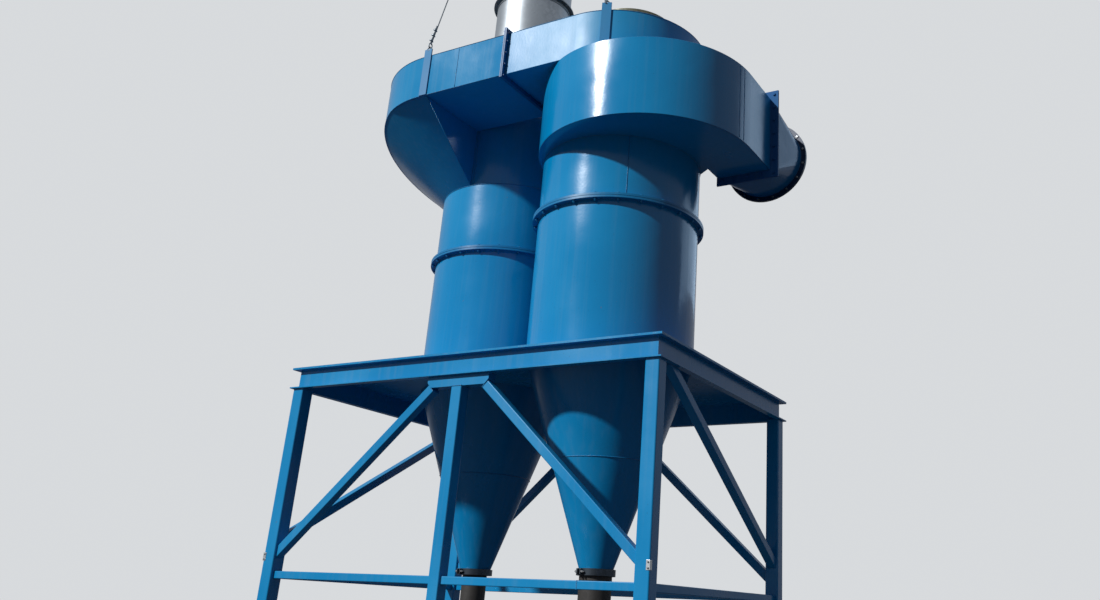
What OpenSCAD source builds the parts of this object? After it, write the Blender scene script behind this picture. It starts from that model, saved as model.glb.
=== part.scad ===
// Twin cyclone separator on a steel support frame.
// Dusty air enters the primary cyclone's inlet scroll, leaves through the outlet
// scroll on its roof, enters the secondary cyclone, and leaves by the stack.
// Millimetres, Z up, ground at Z = 0, front of the frame towards -Y.

/* [Support frame] */
// Width of the deck along X
deck_w = 3200; // [3100:10:3600]
// Depth of the deck along Y
deck_d = 2170; // [2100:10:2600]
// Height of the deck's top above the ground
deck_z = 3240; // [3000:10:3800]
// Thickness of the deck plate
deck_t = 6; // [4:1:12]
// Height of the channels round the deck
channel_h = 152; // [100:1:200]
// Width of a channel's flanges
channel_b = 51; // [40:1:70]
// Thickness of a channel's web
channel_web = 6; // [4:1:10]
// Thickness of a channel's flanges
channel_flange = 9; // [6:1:14]
// Side of the square corner posts
corner_post = 102; // [80:1:130]
// Side of the square middle posts
middle_post = 89; // [70:1:100]
// Distance from the deck's edge to the outer faces of the corner posts
post_inset = 20; // [0:1:40]
// Side of the square footing plates
foot_plate = 200; // [180:1:260]
// Thickness of the footing plates
foot_t = 12; // [8:1:20]
// Radius of the anchor bolt holes
anchor_r = 9; // [6:0.5:12]
// Distance between anchor bolt holes
anchor_pitch = 150; // [146:1:160]

/* [Bracing] */
// Side of the square headers over the middle posts
header = 76; // [66:1:100]
// Length of a header along its lower edge
header_l = 468; // [300:1:700]
// Amount that a header is longer along its upper edge, at each end
header_flare = 31; // [26:1:36]
// Side of the square diagonal braces
brace = 64; // [40:1:66]
// Height where the front and back braces meet the corner posts
brace_foot_z = 1890; // [1880:10:2200]
// Height where the side braces meet the corner posts
side_brace_foot_z = 1990; // [1880:10:2300]
// Distance from the deck's edge to the top of a side brace
side_brace_top = 262; // [200:1:400]
// Side of the square lower beams
low_beam = 51; // [38:1:76]
// Height of the top of the lower beams
low_beam_z = 1757; // [1200:1:1770]

/* [Vessels] */
// Position of the primary cyclone's axis from the centre of the frame, along X
primary_x = 754; // [730:1:800]
// Position of the primary cyclone's axis from the centre of the frame, along Y
primary_y = -297; // [-330:1:-260]
// Position of the secondary cyclone's axis from the centre of the frame, along X
secondary_x = -689; // [-720:1:-640]
// Position of the secondary cyclone's axis from the centre of the frame, along Y
secondary_y = 238; // [200:1:260]
// Outer radius of both barrels
barrel_r = 610; // [560:1:650]
// Thickness of the vessels' sheet
sheet = 5; // [3:0.5:10]
// Height of the bottom of the barrels above the deck
barrel_lift = 44; // [20:1:200]
// Height of the primary barrel up to its inlet scroll
primary_barrel_h = 1549; // [1200:1:2200]
// Height of the cones
cone_h = 1428; // [1300:1:1700]
// Outer radius of the cones' lower end
cone_tip_r = 118; // [110:1:160]
// Height of the bolted barrel joint above the barrel's bottom
joint_h = 1060; // [400:1:1150]
// Width of the bolted barrel joint's rings
joint_lip = 42; // [30:1:70]
// Thickness of one ring of the bolted barrel joint
joint_t = 16; // [8:1:25]
// Thickness of the gasket between two bolted rings or frames
gasket = 3; // [2:0.5:6]

/* [Primary inlet scroll] */
// Height of the primary inlet scroll
inlet_h = 610; // [450:1:760]
// Outer radius of the primary scroll's wall
scroll1_r = 845; // [800:1:900]
// Distance from the vessel's axis to the inner wall of the inlet
inlet_inner_x = 646; // [640:1:700]
// Distance from the vessel's axis to the start of the inner wall of the inlet
inlet_inner_y = 211; // [180:1:240]
// Distance from the vessel's axis to the end of the inlet
inlet_end_y = 394; // [360:1:500]
// Slope of the plate that closes the inlet against the barrel
closing_angle = 35; // [30:1:40]
// Width of the inlet flange beyond the walls
inlet_lip = 66; // [40:1:90]
// Width of the inlet flange beyond the inner wall
inlet_inner_lip = 12; // [6:1:30]
// Thickness of the inlet flange
inlet_flange_t = 16; // [8:1:30]
// Length of the transition from the inlet flange to the round collar
transition_l = 440; // [300:1:600]
// Length of the transition's straight ends
straight_end = 12; // [6:1:30]
// Outer radius of the transition's round end
round_end_r = 305; // [250:1:305]
// Outer radius of the round collar
collar_r = 346; // [330:1:380]
// Thickness of the round collar
collar_t = 24; // [12:1:40]

/* [Outlet and cross duct] */
// Height of the outlet scroll and of the cross duct
outlet_h = 366; // [300:1:450]
// Distance from the primary axis to the front wall of the cross duct
outlet_front = 750; // [720:1:800]
// Sideways position of the front arc's centre from the primary axis
outlet_arc_x = -24; // [-40:1:0]
// Radius of the outlet scroll's front arc
outlet_r1 = 677; // [660:1:700]
// Radius of the outlet scroll's side arc
outlet_r2 = 635; // [620:1:655]
// Radius of the outlet scroll's back arc
outlet_r3 = 590; // [570:1:610]
// Outer radius of the primary outlet tube
outlet_tube_r = 365; // [300:1:400]
// Depth of the outlet tubes below the inlet scrolls' floors
outlet_tube_drop = 120; // [40:1:300]
// Position of the cross duct's flanges from the centre of the frame, along X
cross_flange_x = 89; // [40:1:100]
// Width of the cross duct's flanges beyond the walls
cross_lip = 38; // [25:1:60]
// Thickness of one flange of the cross duct
cross_flange_t = 10; // [6:1:16]
// Height of the capped stub above the outlet scroll
stub_h = 276; // [150:1:400]
// Rise of the stub's cap
stub_cap_h = 25; // [10:1:60]

/* [Secondary inlet scroll] */
// Outer radius of the secondary scroll's wall
scroll2_r = 854; // [820:1:900]
// Sideways position of the secondary scroll's centre from the vessel's axis
scroll2_x = -54; // [-80:1:-30]
// Height of the sloping skirt below the scroll's floor
skirt_h = 515; // [350:1:600]
// Angle of the skirt's slope from level
skirt_angle = 38; // [32:0.5:50]
// Place of the skirt's end plate, from the vessel's axis towards the duct
skirt_end_x = 0; // [-40:1:30]
// Distance from the vessel's axis to the start of the duct's inner wall
seam_x = 30; // [20:1:34]

/* [Stack] */
// Outer radius of the exhaust stack
stack_r = 348; // [280:1:400]
// Thickness of the stack's sheet
stack_t = 3; // [2:0.5:8]
// Height of the stack above the secondary roof
stack_h = 4540; // [3000:10:5000]
// Height of the guy ring above the secondary roof
guy_h = 3990; // [2000:10:4300]
// Height of the guy ring's band
guy_band_h = 60; // [40:1:100]
// Thickness of the guy ring's band
guy_band_t = 8; // [4:1:12]
// Length of the guy ring's ears
guy_ear_l = 50; // [30:1:80]
// Width of the lifting lugs
lug_w = 73; // [50:1:100]
// Thickness of the lifting lugs and of the guy ring's ears
lug_t = 10; // [6:1:20]
// Height of the lifting lugs above the roofs
lug_rise = 60; // [40:1:120]
// Radius of the guy wires
wire_r = 5; // [3:0.5:8]
// Sideways position of the secondary scroll's lug from the vessel's axis
lug2_x = -26; // [-40:1:60]
// Direction of the outlet scroll's lug from the front arc's centre
lug1_angle = -70; // [-85:1:-40]

/* [Dust outlets] */
// Height of the clamp collars
clamp_h = 45; // [30:1:80]
// Outer radius of the clamp collars
clamp_r = 134; // [125:1:180]
// Outer radius of the primary dust pipe
pipe1_r = 112; // [80:1:115]
// Outer radius of the secondary dust pipe
pipe2_r = 95; // [70:1:115]
// Thickness of the dust pipes
pipe_t = 6; // [3:1:10]
// Length of the dust pipes
pipe_l = 400; // [200:10:900]

/* [Placing] */
// Position of the frame's centre from the origin, along X
frame_x = -167; // [-400:1:400]
// Position of the frame's centre from the origin, along Y
frame_y = 14; // [-200:1:200]
// Gap where a round piece is seated round another
seat = 0.3; // [0.1:0.1:1]

/* [Hidden] */
$fn = 96;

PAINT = [0.12, 0.55, 0.77];
DARK_PAINT = [0.08, 0.28, 0.5];
GALVANISED = [0.72, 0.74, 0.75];
PIPE = [0.2, 0.18, 0.17];

// Corner radius of square tube, as a share of its side
TUBE_ROUND = 0.1;
// Amount that a cut reaches past the solid it is made in
PAST = 1;

// Levels
beam_top_z = deck_z - deck_t;
beam_z = beam_top_z - channel_h;
header_z = beam_z - header;
barrel_z = deck_z + barrel_lift;
cone_z = barrel_z - cone_h;
joint_z = barrel_z + joint_h;
inlet_z = barrel_z + primary_barrel_h;
outlet_z = inlet_z + inlet_h;
roof_z = outlet_z + outlet_h;
skirt_z = outlet_z - skirt_h;
guy_z = roof_z + guy_h;

// Post lines
post_x = deck_w / 2 - post_inset - corner_post / 2;
post_y = deck_d / 2 - post_inset - corner_post / 2;
face_x = post_x - corner_post / 2;
face_y = post_y - corner_post / 2;

// Braces
brace_angle = atan((header_z - brace_foot_z) / (face_x - header_l / 2));
side_run = deck_d / 2 - side_brace_top + face_y;
side_brace_angle = atan((beam_z - side_brace_foot_z) / side_run);

// Cones
cone_slope = (barrel_r - cone_tip_r) / cone_h;
cone_sheet = sheet * sqrt(1 + cone_slope * cone_slope);
hole_r = barrel_r - cone_slope * barrel_lift + seat;

// Scrolls, measured from the axis of their own vessel
scroll1_x = scroll1_r - barrel_r;
inlet_outer_x = scroll1_x + scroll1_r;
inlet_mid_x = (inlet_inner_x + inlet_outer_x) / 2;
inlet_mid_z = inlet_z + inlet_h / 2;
flange_y = inlet_end_y + inlet_flange_t;
collar_y = flange_y + transition_l;
cross_front = primary_y - outlet_front;
cross_back = secondary_y - barrel_r;
outlet_end_x = cross_flange_x - primary_x;
outlet_back_y = cross_back - primary_y;
arc1 = [outlet_arc_x, outlet_r1 - outlet_front];
arc2 = [arc1.x + outlet_r1 - outlet_r2, arc1.y];
arc3 = [arc2.x, arc2.y + outlet_r2 - outlet_r3];
duct2_end_x = cross_flange_x - secondary_x;
duct2_front_y = cross_front - secondary_y;
scroll2 = [scroll2_x, duct2_front_y + scroll2_r];

// Lugs, from the centre of the frame: point on the wall, and direction outwards
lug1_wall = [primary_x + arc1.x + outlet_r1 * cos(lug1_angle),
             primary_y + arc1.y + outlet_r1 * sin(lug1_angle)];
lug2_wall = [secondary_x + lug2_x, cross_front];
lug3_wall = [secondary_x, secondary_y + barrel_r];
LUGS = [[lug1_wall, lug1_angle], [lug2_wall, -90], [lug3_wall, 90]];

module from_frame() {
    translate([frame_x, frame_y, 0]) children();
}

module at_primary() {
    from_frame() translate([primary_x, primary_y, 0]) children();
}

module at_secondary() {
    from_frame() translate([secondary_x, secondary_y, 0]) children();
}

// Square tube section with rounded corners
module tube_section(side) {
    r = side * TUBE_ROUND;
    square([side, side - 2 * r], center = true);
    square([side - 2 * r, side], center = true);
    for (x = [-1, 1], y = [-1, 1])
        translate([x * (side / 2 - r), y * (side / 2 - r)]) circle(r, $fn = 24);
}

// Upright of square tube on a footing plate
module post(x, y, side, top_z) {
    from_frame() color(PAINT) translate([x, y, foot_t])
        linear_extrude(top_z - foot_t) tube_section(side);
}

// Level bar of square tube that starts at the given point and runs along +X
module bar(side, length) {
    rotate([90, 0, 90]) linear_extrude(length) tube_section(side);
}

module ring(outer, inner, height) {
    difference() {
        cylinder(r = outer, h = height);
        translate([0, 0, -PAST]) cylinder(r = inner, h = height + 2 * PAST);
    }
}

module foot_plates() {
    from_frame() color(PAINT)
        for (x = [-post_x, 0, post_x], y = [-post_y, post_y])
            translate([x, y, 0]) difference() {
                translate([-foot_plate / 2, -foot_plate / 2, 0])
                    cube([foot_plate, foot_plate, foot_t]);
                for (i = [-1, 1], j = [-1, 1])
                    translate([i * anchor_pitch / 2, j * anchor_pitch / 2, -PAST])
                        cylinder(r = anchor_r, h = foot_t + 2 * PAST, $fn = 32);
            }
}

module front_left_post() {
    post(-post_x, -post_y, corner_post, beam_z);
}

module front_right_post() {
    post(post_x, -post_y, corner_post, beam_z);
}

module back_left_post() {
    post(-post_x, post_y, corner_post, beam_z);
}

module back_right_post() {
    post(post_x, post_y, corner_post, beam_z);
}

module front_middle_post() {
    post(0, -post_y, middle_post, header_z);
}

module back_middle_post() {
    post(0, post_y, middle_post, header_z);
}

module deck_plate() {
    from_frame() color(PAINT) difference() {
        translate([-deck_w / 2, -deck_d / 2, beam_top_z]) cube([deck_w, deck_d, deck_t]);
        for (axis = [[primary_x, primary_y], [secondary_x, secondary_y]])
            translate([axis.x, axis.y, beam_top_z - PAST])
                cylinder(r = hole_r, h = deck_t + 2 * PAST);
    }
}

// Channel with its toes outwards and mitred ends, its outer edge at -distance on Y
module mitred_channel(length, distance) {
    outer = length / 2;
    inner = outer - channel_b;
    web = inner + channel_web;
    flange_plan = [[-outer, -distance], [outer, -distance],
                   [inner, channel_b - distance], [-inner, channel_b - distance]];
    web_plan = [[-web, channel_b - channel_web - distance],
                [web, channel_b - channel_web - distance],
                [inner, channel_b - distance], [-inner, channel_b - distance]];
    translate([0, 0, beam_z]) {
        linear_extrude(channel_flange) polygon(flange_plan);
        translate([0, 0, channel_h - channel_flange])
            linear_extrude(channel_flange) polygon(flange_plan);
        linear_extrude(channel_h) polygon(web_plan);
    }
}

module front_deck_beam() {
    from_frame() color(PAINT) mitred_channel(deck_w, deck_d / 2);
}

module back_deck_beam() {
    from_frame() color(PAINT) rotate([0, 0, 180]) mitred_channel(deck_w, deck_d / 2);
}

module left_deck_beam() {
    from_frame() color(PAINT) rotate([0, 0, -90]) mitred_channel(deck_d, deck_w / 2);
}

module right_deck_beam() {
    from_frame() color(PAINT) rotate([0, 0, 90]) mitred_channel(deck_d, deck_w / 2);
}

// Header under the deck beam, its ends cut square to the braces
module header(y) {
    low = header_l / 2;
    high = low + header_flare;
    cut = header_flare / tan(brace_angle);
    from_frame() color(PAINT) translate([0, y + header / 2, header_z]) rotate([90, 0, 0])
        linear_extrude(header)
            polygon([[-low, 0], [low, 0], [high, cut], [high, header],
                     [-high, header], [-high, cut]]);
}

module front_header() {
    header(-post_y);
}

module back_header() {
    header(post_y);
}

// Diagonal brace from the header's end down to a corner post's inner face
module frame_brace(side, y) {
    length = (face_x - header_l / 2) / cos(brace_angle) + 2 * brace;
    from_frame() color(PAINT) translate([0, y, 0]) mirror([side < 0 ? 1 : 0, 0, 0])
        difference() {
            translate([header_l / 2, 0, header_z]) rotate([0, brace_angle, 0])
                bar(brace, length);
            translate([face_x, -brace, 0]) cube([deck_w, 2 * brace, deck_z]);
            translate([0, -brace, -length]) cube([deck_w, 2 * brace, length]);
        }
}

module front_left_brace() {
    frame_brace(-1, -post_y);
}

module front_right_brace() {
    frame_brace(1, -post_y);
}

module back_left_brace() {
    frame_brace(-1, post_y);
}

module back_right_brace() {
    frame_brace(1, post_y);
}

// Diagonal brace along a side, from a post at +Y up to the deck beam near -Y
module side_brace(x) {
    from_frame() color(PAINT) translate([x, 0, 0]) difference() {
        translate([0, face_y, side_brace_foot_z]) rotate([-side_brace_angle, 0, 0])
            rotate([0, 0, -90]) translate([-brace, 0, 0])
                bar(brace, side_run / cos(side_brace_angle) + 3 * brace);
        translate([-brace, face_y, 0]) cube([2 * brace, deck_d, deck_z]);
        translate([-brace, -deck_d, beam_z]) cube([2 * brace, 2 * deck_d, deck_z]);
    }
}

module left_side_brace() {
    from_frame() mirror([0, 1, 0]) translate([-frame_x, -frame_y, 0]) side_brace(-post_x);
}

module right_side_brace() {
    side_brace(post_x);
}

// Lower beams on both sides of a middle post
module lower_beams(y) {
    clear = middle_post / 2;
    from_frame() color(PAINT) for (side = [0, 1]) mirror([side, 0, 0])
        translate([clear, y, low_beam_z - low_beam / 2]) bar(low_beam, face_x - clear);
}

module front_lower_beams() {
    lower_beams(-post_y);
}

module back_lower_beams() {
    lower_beams(post_y);
}

module side_lower_beams() {
    from_frame() color(PAINT) for (x = [-post_x, post_x])
        translate([x, -face_y, low_beam_z - low_beam / 2]) rotate([0, 0, 90])
            bar(low_beam, 2 * face_y);
}

// Hollow cone with its wide end at the bottom of a barrel
module cone() {
    translate([0, 0, cone_z]) rotate_extrude()
        polygon([[cone_tip_r - cone_sheet, 0], [cone_tip_r, 0],
                 [barrel_r, cone_h], [barrel_r - cone_sheet, cone_h]]);
}

module primary_cone() {
    at_primary() color(PAINT) cone();
}

module secondary_cone() {
    at_secondary() color(PAINT) cone();
}

module primary_barrel() {
    at_primary() color(PAINT) translate([0, 0, barrel_z])
        ring(barrel_r, barrel_r - sheet, inlet_z - barrel_z);
}

module secondary_barrel() {
    at_secondary() color(PAINT) translate([0, 0, barrel_z])
        ring(barrel_r, barrel_r - sheet, skirt_z - barrel_z);
}

// Pair of bolted rings round a barrel, with the gasket's gap between them
module joint_rings() {
    for (z = [gasket / 2, -gasket / 2 - joint_t])
        translate([0, 0, joint_z + z]) ring(barrel_r + joint_lip, barrel_r + seat, joint_t);
}

module barrel_joint_rings() {
    color(PAINT) {
        at_primary() joint_rings();
        at_secondary() joint_rings();
    }
}

// Plan of the primary scroll, moved inwards by i, open at the inlet by the length past
module scroll1_plan(i, past) {
    corner = [inlet_inner_x + i,
              inlet_inner_y - i * (1 + sin(closing_angle)) / cos(closing_angle)];
    reach = (corner.x - barrel_r * cos(closing_angle)) / cos(closing_angle) + 40;
    circle(barrel_r - i);
    intersection() {
        translate([scroll1_x, 0]) circle(scroll1_r - i);
        translate([-2 * scroll1_r, -2 * scroll1_r]) square([4 * scroll1_r, 2 * scroll1_r]);
    }
    polygon([[0, -PAST], [inlet_outer_x - i, -PAST], [inlet_outer_x - i, inlet_end_y + past],
             [corner.x, inlet_end_y + past], corner,
             corner + reach * [-cos(closing_angle), sin(closing_angle)]]);
}

// Shell of the primary scroll: spiral wall and flat floor, open to the barrel
module primary_inlet_scroll() {
    at_primary() color(PAINT) difference() {
        translate([0, 0, inlet_z]) linear_extrude(inlet_h - sheet) scroll1_plan(0, 0);
        translate([0, 0, inlet_z + sheet]) linear_extrude(inlet_h) scroll1_plan(sheet, PAST);
        translate([0, 0, inlet_z - PAST]) cylinder(r = barrel_r - sheet, h = inlet_h);
    }
}

// Roof plate of the primary vessel with its outlet tube hanging below
module primary_roof() {
    length = inlet_h + outlet_tube_drop;
    at_primary() color(PAINT) difference() {
        union() {
            translate([0, 0, outlet_z - sheet]) linear_extrude(sheet) scroll1_plan(0, 0);
            translate([0, 0, outlet_z - length]) cylinder(r = outlet_tube_r, h = length);
        }
        translate([0, 0, outlet_z - length - PAST])
            cylinder(r = outlet_tube_r - sheet, h = length + 2 * PAST);
    }
}

// Flange round the end of the inlet
module inlet_flange() {
    width = inlet_outer_x - inlet_inner_x;
    at_primary() color(PAINT)
        translate([inlet_inner_x, flange_y, inlet_z]) rotate([90, 0, 0])
            linear_extrude(inlet_flange_t) difference() {
                translate([-inlet_inner_lip, -inlet_lip])
                    square([width + inlet_inner_lip + inlet_lip, inlet_h + 2 * inlet_lip]);
                translate([sheet, sheet]) square([width - 2 * sheet, inlet_h - 2 * sheet]);
            }
}

// Square to round body with a short straight end on both sides, moved inwards by i
// and lengthened at both ends by past
module transition_body(i, past) {
    width = inlet_outer_x - inlet_inner_x;
    hull() {
        translate([inlet_inner_x + i, flange_y - past, inlet_z + i])
            cube([width - 2 * i, straight_end + past, inlet_h - 2 * i]);
        translate([inlet_mid_x, collar_y + past, inlet_mid_z]) rotate([90, 0, 0])
            cylinder(r = round_end_r - i, h = straight_end + past, $fn = 48);
    }
}

module inlet_transition() {
    at_primary() color(PAINT) difference() {
        transition_body(0, 0);
        transition_body(sheet, PAST);
    }
}

module inlet_collar() {
    at_primary() color(DARK_PAINT) translate([inlet_mid_x, collar_y, inlet_mid_z])
        rotate([-90, 0, 0]) ring(collar_r, round_end_r - sheet, collar_t);
}

// Quarter of a disc: its centre, radius and the quadrant that it fills
module quarter(centre, r, quadrant) {
    translate(centre) intersection() {
        circle(r);
        rotate(90 * quadrant) square(2 * r);
    }
}

// Plan of the outlet scroll and its duct, moved inwards by i, lengthened by past
module outlet_plan(i, past) {
    front = -outlet_front + i;
    back = outlet_back_y - i;
    middle = (front + back) / 2;
    quarter(arc1, outlet_r1 - i, 3);
    quarter(arc2, outlet_r2 - i, 0);
    quarter(arc3, outlet_r3 - i, 1);
    translate([outlet_end_x - past, front])
        square([arc1.x - outlet_end_x + past + PAST, back - front]);
    translate([arc3.x - outlet_r3 + i, middle])
        square([outlet_r3 - i + PAST, arc3.y - middle + PAST]);
    translate([arc1.x, middle]) square([arc2.x - arc1.x + PAST, arc1.y - middle + PAST]);
}

// Shell of the outlet scroll, with the hole over the primary outlet tube
module outlet_scroll() {
    at_primary() color(PAINT) difference() {
        translate([0, 0, outlet_z]) linear_extrude(outlet_h - sheet) outlet_plan(0, 0);
        translate([0, 0, outlet_z + sheet]) linear_extrude(outlet_h) outlet_plan(sheet, PAST);
        translate([0, 0, outlet_z - PAST]) cylinder(r = outlet_tube_r - sheet, h = outlet_h);
    }
}

module outlet_scroll_roof() {
    at_primary() color(PAINT) difference() {
        translate([0, 0, roof_z - sheet]) linear_extrude(sheet) outlet_plan(0, 0);
        translate([0, 0, roof_z - outlet_h])
            cylinder(r = outlet_tube_r - sheet, h = outlet_h + PAST);
    }
}

// Two bolted frames round the cross duct, with the gasket's gap between them
module cross_duct_flanges() {
    width = cross_back - cross_front;
    from_frame() color(PAINT) for (x = [gasket / 2, -gasket / 2 - cross_flange_t])
        translate([cross_flange_x + x, 0, 0]) difference() {
            translate([0, cross_front - cross_lip, outlet_z - cross_lip])
                cube([cross_flange_t, width + 2 * cross_lip, outlet_h + 2 * cross_lip]);
            translate([-PAST, cross_front - seat, outlet_z - seat])
                cube([cross_flange_t + 2 * PAST, width + 2 * seat, outlet_h + 2 * seat]);
        }
}

// Plan of the secondary vessel and its scroll left of the line x_end, moved inwards
// by i; the duct's inner wall joins the barrel at join_x
module scroll2_plan(i, x_end, join_x) {
    start_x = scroll2.x - PAST;
    side_y = -barrel_r - i;
    circle(barrel_r - i);
    intersection() {
        translate(scroll2) circle(scroll2_r - i);
        translate([-3 * scroll2_r, -3 * scroll2_r])
            square([3 * scroll2_r + scroll2.x, 6 * scroll2_r]);
    }
    translate([start_x, duct2_front_y + i])
        square([x_end - start_x, side_y - duct2_front_y - i]);
    translate([start_x, side_y]) square([join_x - start_x, -side_y]);
}

// Funnel that the skirt lies on: barrel below, sloping wall above, moved inwards by i
module skirt_funnel(i, past) {
    turn_z = i * (1 - sin(skirt_angle)) / cos(skirt_angle);
    top_z = skirt_h + i + past;
    translate([0, 0, skirt_z]) rotate_extrude()
        polygon([[0, -past], [barrel_r - i, -past], [barrel_r - i, turn_z],
                 [barrel_r - i + (top_z - turn_z) / tan(skirt_angle), top_z], [0, top_z]]);
}

// Shell of the secondary scroll: spiral wall, flat floor by the duct, and a skirt
// that slopes down to the barrel on the far side
module secondary_inlet_scroll() {
    height = roof_z - sheet - skirt_z;
    at_secondary() color(PAINT) difference() {
        union() {
            translate([0, 0, outlet_z]) linear_extrude(outlet_h - sheet)
                scroll2_plan(0, duct2_end_x, seam_x);
            intersection() {
                translate([0, 0, skirt_z]) linear_extrude(skirt_h)
                    scroll2_plan(0, skirt_end_x, seam_x);
                skirt_funnel(0, 0);
            }
        }
        translate([0, 0, outlet_z + sheet]) linear_extrude(outlet_h)
            scroll2_plan(sheet, duct2_end_x + PAST, 0);
        intersection() {
            translate([0, 0, skirt_z - PAST]) linear_extrude(height)
                scroll2_plan(sheet, skirt_end_x - sheet, skirt_end_x - 2 * sheet);
            skirt_funnel(sheet, PAST);
        }
    }
}

// Roof plate of the secondary vessel with its outlet tube hanging below
module secondary_roof() {
    length = outlet_h + outlet_tube_drop;
    at_secondary() color(PAINT) difference() {
        union() {
            translate([0, 0, roof_z - sheet]) linear_extrude(sheet)
                scroll2_plan(0, duct2_end_x, seam_x);
            translate([0, 0, roof_z - length]) cylinder(r = stack_r, h = length);
        }
        translate([0, 0, roof_z - length - PAST])
            cylinder(r = stack_r - stack_t, h = length + 2 * PAST);
    }
}

// Short closed tube on the outlet scroll, with a slightly conical cap
module capped_stub() {
    at_primary() color(GALVANISED) translate([0, 0, roof_z]) rotate_extrude()
        polygon([[outlet_tube_r - sheet, 0], [outlet_tube_r, 0], [outlet_tube_r, stub_h],
                 [0, stub_h + stub_cap_h], [0, stub_h + stub_cap_h - sheet],
                 [outlet_tube_r - sheet, stub_h - sheet]]);
}

module exhaust_stack() {
    at_secondary() color(GALVANISED) translate([0, 0, roof_z])
        ring(stack_r, stack_r - stack_t, stack_h);
}

// Direction of a lug as seen from the stack
function lug_bearing(wall) = atan2(wall.y - secondary_y, wall.x - secondary_x);

// Band round the stack with one ear for each wire
module guy_ring() {
    band_r = stack_r + seat + guy_band_t;
    at_secondary() color(GALVANISED) translate([0, 0, guy_z])
        linear_extrude(guy_band_h) difference() {
            union() {
                circle(band_r);
                for (lug = LUGS) rotate(lug_bearing(lug[0])) translate([0, -lug_t / 2])
                    square([band_r + guy_ear_l, lug_t]);
            }
            circle(stack_r + seat);
        }
}

// Wires from the top of each lug to the lower edge of its ear
module guy_wires() {
    reach = stack_r + seat + guy_band_t + guy_ear_l / 2;
    from_frame() color(GALVANISED) for (lug = LUGS) {
        bearing = lug_bearing(lug[0]);
        start = [lug[0].x + lug_t / 2 * cos(lug[1]), lug[0].y + lug_t / 2 * sin(lug[1]),
                 roof_z + lug_rise];
        end = [secondary_x + reach * cos(bearing), secondary_y + reach * sin(bearing), guy_z];
        way = end - start;
        length = norm(way);
        tilt = acos(way.z / length);
        ease = seat + wire_r * tan(tilt);
        translate(start) rotate([0, tilt, atan2(way.y, way.x)]) translate([0, 0, ease])
            cylinder(r = wire_r, h = length - 2 * ease, $fn = 16);
    }
}

module lifting_lugs() {
    from_frame() color(PAINT) for (lug = LUGS)
        translate([lug[0].x, lug[0].y, outlet_z]) rotate([0, 0, lug[1]])
            translate([seat, -lug_w / 2, 0]) cube([lug_t, lug_w, outlet_h + lug_rise]);
}

module clamp_collars() {
    color(DARK_PAINT) {
        at_primary() translate([0, 0, cone_z - clamp_h]) ring(clamp_r, pipe1_r + seat, clamp_h);
        at_secondary() translate([0, 0, cone_z - clamp_h]) ring(clamp_r, pipe2_r + seat, clamp_h);
    }
}

module dust_pipes() {
    color(PIPE) {
        at_primary() translate([0, 0, cone_z - pipe_l]) ring(pipe1_r, pipe1_r - pipe_t, pipe_l);
        at_secondary() translate([0, 0, cone_z - pipe_l]) ring(pipe2_r, pipe2_r - pipe_t, pipe_l);
    }
}

foot_plates();
front_left_post();
front_right_post();
back_left_post();
back_right_post();
front_middle_post();
back_middle_post();
deck_plate();
front_deck_beam();
back_deck_beam();
left_deck_beam();
right_deck_beam();
front_header();
back_header();
front_left_brace();
front_right_brace();
back_left_brace();
back_right_brace();
left_side_brace();
right_side_brace();
front_lower_beams();
back_lower_beams();
side_lower_beams();
primary_cone();
secondary_cone();
primary_barrel();
secondary_barrel();
barrel_joint_rings();
primary_inlet_scroll();
primary_roof();
inlet_flange();
inlet_transition();
inlet_collar();
outlet_scroll();
outlet_scroll_roof();
cross_duct_flanges();
secondary_inlet_scroll();
secondary_roof();
capped_stub();
exhaust_stack();
guy_ring();
guy_wires();
lifting_lugs();
clamp_collars();
dust_pipes();
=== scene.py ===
import math
import bmesh
import bpy
from mathutils import Matrix, Vector


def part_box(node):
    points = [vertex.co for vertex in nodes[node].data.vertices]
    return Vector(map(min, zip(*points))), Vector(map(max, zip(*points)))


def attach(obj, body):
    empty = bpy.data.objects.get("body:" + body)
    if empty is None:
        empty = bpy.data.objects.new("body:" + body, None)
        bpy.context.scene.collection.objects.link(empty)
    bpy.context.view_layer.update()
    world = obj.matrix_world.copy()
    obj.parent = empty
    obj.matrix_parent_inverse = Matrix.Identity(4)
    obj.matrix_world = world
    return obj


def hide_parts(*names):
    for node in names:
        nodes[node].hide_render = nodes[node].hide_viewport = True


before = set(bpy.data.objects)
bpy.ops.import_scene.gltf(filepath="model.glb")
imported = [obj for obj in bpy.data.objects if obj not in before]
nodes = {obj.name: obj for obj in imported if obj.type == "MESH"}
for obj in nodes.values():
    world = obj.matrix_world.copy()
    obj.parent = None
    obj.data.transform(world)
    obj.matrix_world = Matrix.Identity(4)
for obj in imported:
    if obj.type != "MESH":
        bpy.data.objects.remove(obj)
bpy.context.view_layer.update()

# Camera: at eye height, 1.6 m above the floor, in front of the plant and to its right,
# looking up at the vessels. The photograph is a crop, so the lens is slightly shifted.
camera_place = Vector((4.134, -6.090, 1.600))
yaw = math.radians(28.3165)
pitch = math.radians(19.6364)
roll = math.radians(2.7024)
ahead = Vector((-math.sin(yaw) * math.cos(pitch), math.cos(yaw) * math.cos(pitch), math.sin(pitch)))
level = Vector((math.cos(yaw), math.sin(yaw), 0))
upright = level.cross(ahead)
right = level * math.cos(roll) + upright * math.sin(roll)
up = upright * math.cos(roll) - level * math.sin(roll)
bpy.ops.object.camera_add(location=camera_place)
camera = bpy.context.object
camera.name = "camera"
camera.matrix_world = Matrix.Translation(camera_place) @ Matrix((right, up, -ahead)).transposed().to_4x4()
camera.data.sensor_width = 36
camera.data.lens = 31.30
camera.data.shift_x = -0.1041
camera.data.shift_y = -0.0264
camera.data.clip_end = 100
bpy.context.scene.camera = camera


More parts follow.
